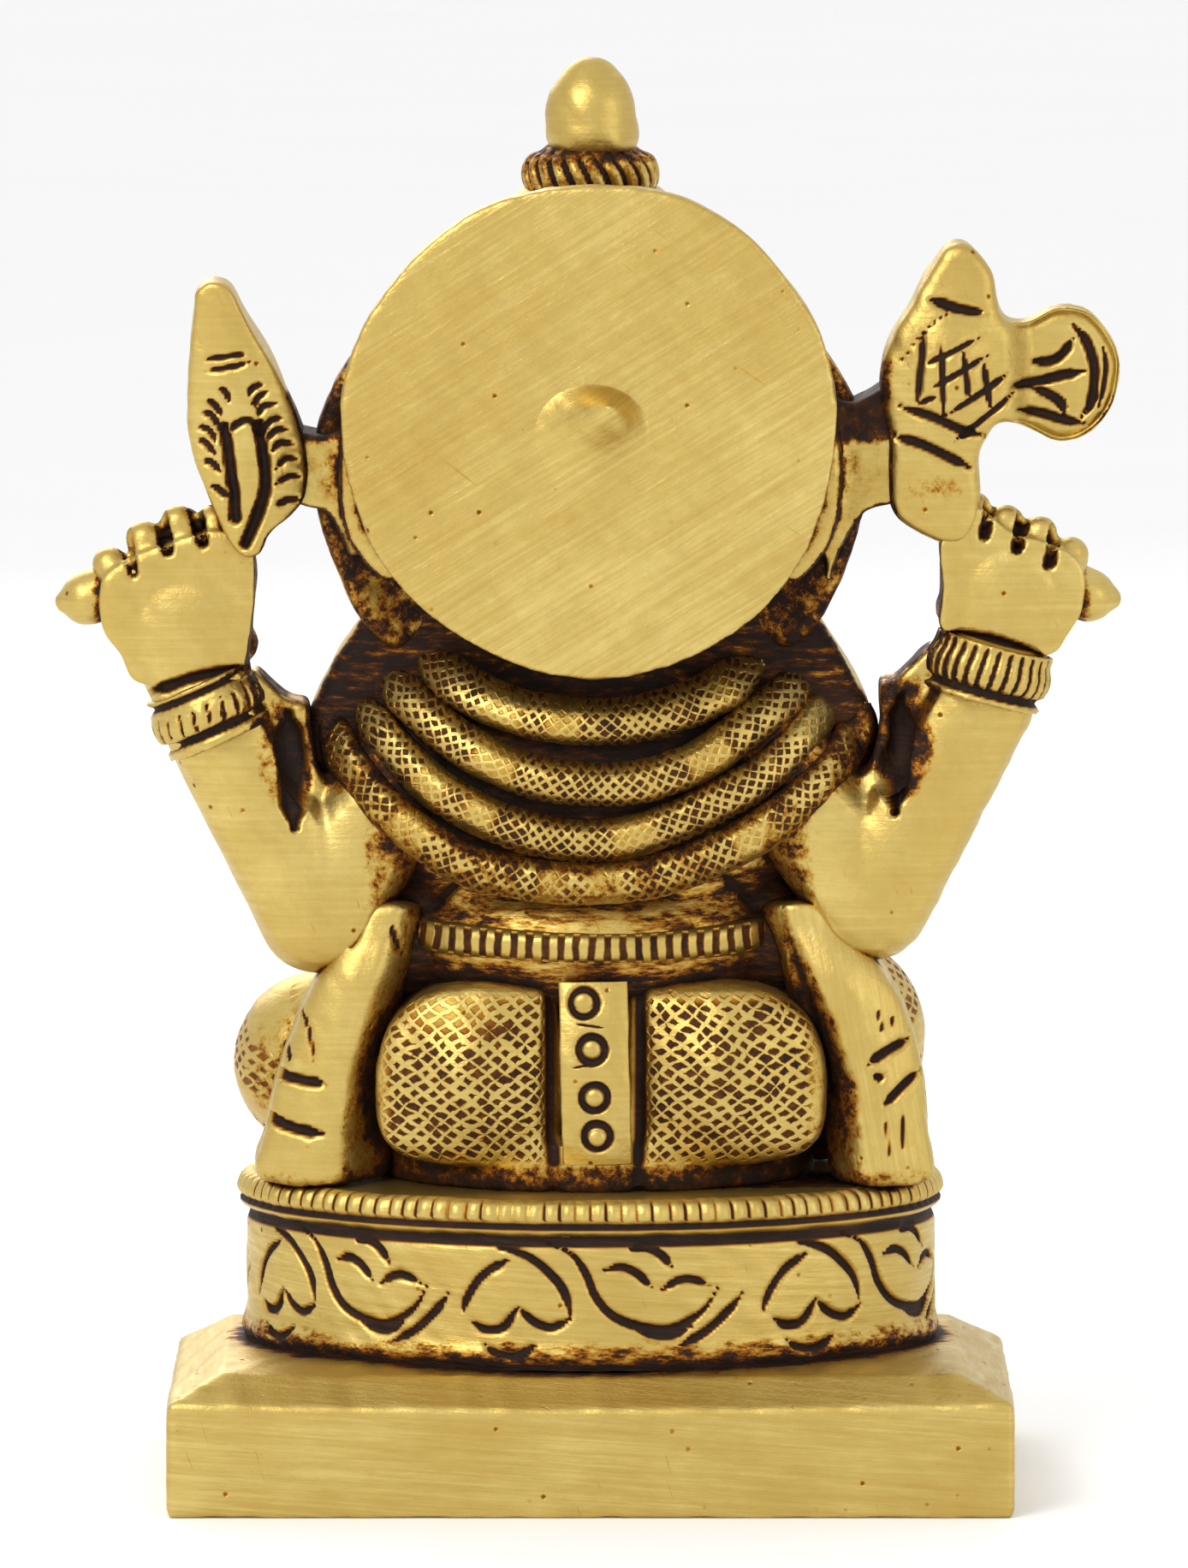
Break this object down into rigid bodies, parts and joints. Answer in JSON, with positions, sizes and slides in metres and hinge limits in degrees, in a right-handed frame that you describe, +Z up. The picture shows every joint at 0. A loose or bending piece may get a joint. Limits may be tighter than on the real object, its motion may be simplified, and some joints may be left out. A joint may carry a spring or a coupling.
{
  "type": "seated deity statue",
  "caption": "Seated elephant-headed figure with raised arms, a rope noose, an axe and a round halo, on an oval drum and a rectangular plinth, all in cast brass.",
  "frame": {"origin": "middle of the foot face", "axes": "+Z up, the figure faces -Y, +X is the figure's left"},
  "size_m": [0.0798, 0.044, 0.107],
  "materials": {
    "brass_base": "brushed, dark patina in the chased lines",
    "brass_figure": "hand-chased, worn bright on the high spots",
    "brass_halo": "plain, finely scratched"
  },
  "bodies": {
    "root": {"armlet_left": "brass_figure", "armlet_right": "brass_figure", "axe": "brass_figure", "back_pleat": "brass_figure", "blessing_hand": "brass_figure", "bowl_hand": "brass_figure", "casting_strut_left": "brass_figure", "casting_strut_right": "brass_figure", "collar_strand_1": "brass_figure", "collar_strand_2": "brass_figure", "collar_strand_3": "brass_figure", "collar_strand_4": "brass_figure", "crown_band": "brass_figure", "crown_finial": "brass_figure", "crown_lotus": "brass_figure", "crown_tier": "brass_figure", "ear_left": "brass_figure", "ear_right": "brass_figure", "foot_left": "brass_figure", "foot_right": "brass_figure", "front_arm_left": "brass_figure", "front_arm_right": "brass_figure", "front_bracelet_left": "brass_figure", "front_bracelet_right": "brass_figure", "halo_disc": "brass_halo", "halo_rivet": "brass_halo", "head": "brass_figure", "hips": "brass_figure", "necklace_lower": "brass_figure", "necklace_upper": "brass_figure", "pedestal_drum": "brass_base", "pendant": "brass_figure", "pleat_studs": "brass_figure", "plinth": "brass_base", "rear_arm_left": "brass_figure", "rear_arm_right": "brass_figure", "rear_cuff_left": "brass_figure", "rear_cuff_right": "brass_figure", "rear_fist_left": "brass_figure", "rear_fist_right": "brass_figure", "rear_handle_left": "brass_figure", "rear_handle_right": "brass_figure", "rope_noose": "brass_figure", "sash_tail_left": "brass_figure", "sash_tail_right": "brass_figure", "seat_slab": "brass_base", "shin_left": "brass_figure", "shin_right": "brass_figure", "sweet_bowl": "brass_figure", "sweets": "brass_figure", "thigh_left": "brass_figure", "thigh_right": "brass_figure", "torso": "brass_figure", "trunk": "brass_figure", "tusk_left": "brass_figure", "tusk_right": "brass_figure", "waist_belt": "brass_figure"}
  },
  "joints": []
}
